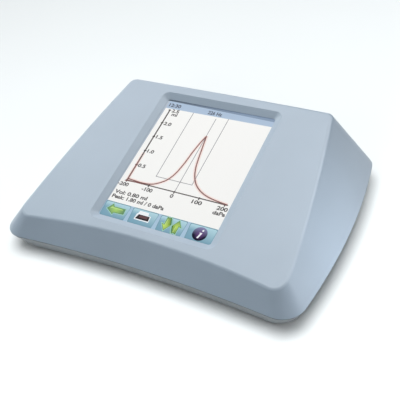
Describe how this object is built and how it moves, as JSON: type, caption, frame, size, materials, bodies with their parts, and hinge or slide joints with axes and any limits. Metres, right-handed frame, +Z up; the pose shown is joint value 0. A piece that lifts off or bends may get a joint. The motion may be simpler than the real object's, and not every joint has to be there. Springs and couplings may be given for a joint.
{
  "type": "desktop screening audiometer",
  "caption": "Low wedge-shaped desktop hearing and ear-pressure screener with a portrait touch screen let into its sloping top and a connector bay in the back.",
  "frame": {"origin": "middle of the outline on the table, at the underside of the rubber feet", "axes": "+X to the right of the user who faces the screen, +Y away from the user towards the connector bay, +Z up"},
  "size_m": [0.2404, 0.1797, 0.0679],
  "materials": {
    "base_grey": "moulded, grey",
    "black_plastic": "satin",
    "brass": "turned",
    "button_grey": "satin",
    "cell_wrap": "shrink sleeve",
    "chip_black": "moulded package",
    "display": "lit screen",
    "foam": "closed cell foam",
    "housing_blue": "fine moulded texture, light blue-grey",
    "nickel": "nickel plated",
    "panel_grey": "moulded, dark grey",
    "pcb_green": "solder mask",
    "polyimide": "flexible circuit",
    "rubber": "matt",
    "silicone": "translucent silicone",
    "speaker_black": "black",
    "steel": "zinc plated",
    "touch_glass": "clear, slight satin film",
    "white_plastic": "satin"
  },
  "bodies": {
    "housing": {"air_fitting": "nickel", "air_manifold": "white_plastic", "backlight": "white_plastic", "battery_clamp": "black_plastic", "battery_leads": "rubber", "battery_pack": "cell_wrap", "board_headers": "white_plastic", "board_screws": "steel", "bottom_cover": "base_grey", "button_spring": "steel", "case_screws": "steel", "coin_cell": "nickel", "coin_cell_holder": "black_plastic", "connector_board": "pcb_green", "converter_chips": "chip_black", "dc_inlet": "black_plastic", "dc_pin": "nickel", "display_bracket": "steel", "display_screws": "steel", "jack_nuts": "nickel", "lcd_module": "display", "lcd_ribbon": "polyimide", "loudspeaker": "speaker_black", "main_board": "pcb_green", "panel_screws": "steel", "phone_jack_left": "black_plastic", "phone_jack_right": "black_plastic", "power_switch": "black_plastic", "pressure_sensor": "chip_black", "probe_contacts": "black_plastic", "probe_nut": "nickel", "probe_socket": "nickel", "probe_tube": "silicone", "processor": "chip_black", "processor_shield": "steel", "pump_bracket": "steel", "pump_cylinder": "white_plastic", "pump_motor": "speaker_black", "pump_screws": "steel", "pump_tube": "silicone", "rear_panel": "panel_grey", "response_jack": "black_plastic", "response_jack_nut": "nickel", "rubber_feet": "rubber", "screen_gasket": "foam", "thread_inserts": "brass", "top_cover": "housing_blue", "touch_panel": "touch_glass", "touch_ribbon": "polyimide", "usb_port": "nickel", "usb_tongue": "white_plastic", "vent_valve": "nickel"},
    "power_button_body": {"power_button": "button_grey"},
    "pump_piston_body": {"pump_piston": "white_plastic", "piston_seal": "rubber"},
    "valve_plunger_body": {"valve_plunger": "steel"}
  },
  "joints": [
    {"name": "power_button_press", "type": "slide", "parent": "housing", "child": "power_button_body", "axis": [0, -1, 0], "range_m": [0, 0.0015], "stiffness_N_per_m": 800, "springref_m": -0.002, "deforming": ["button_spring"]},
    {"name": "pump_stroke", "type": "slide", "parent": "housing", "child": "pump_piston_body", "axis": [0, -1, 0], "range_m": [0, 0.012]},
    {"name": "valve_close", "type": "slide", "parent": "housing", "child": "valve_plunger_body", "axis": [0, 0, -1], "range_m": [0, 0.001], "stiffness_N_per_m": 400, "springref_m": -0.001}
  ]
}
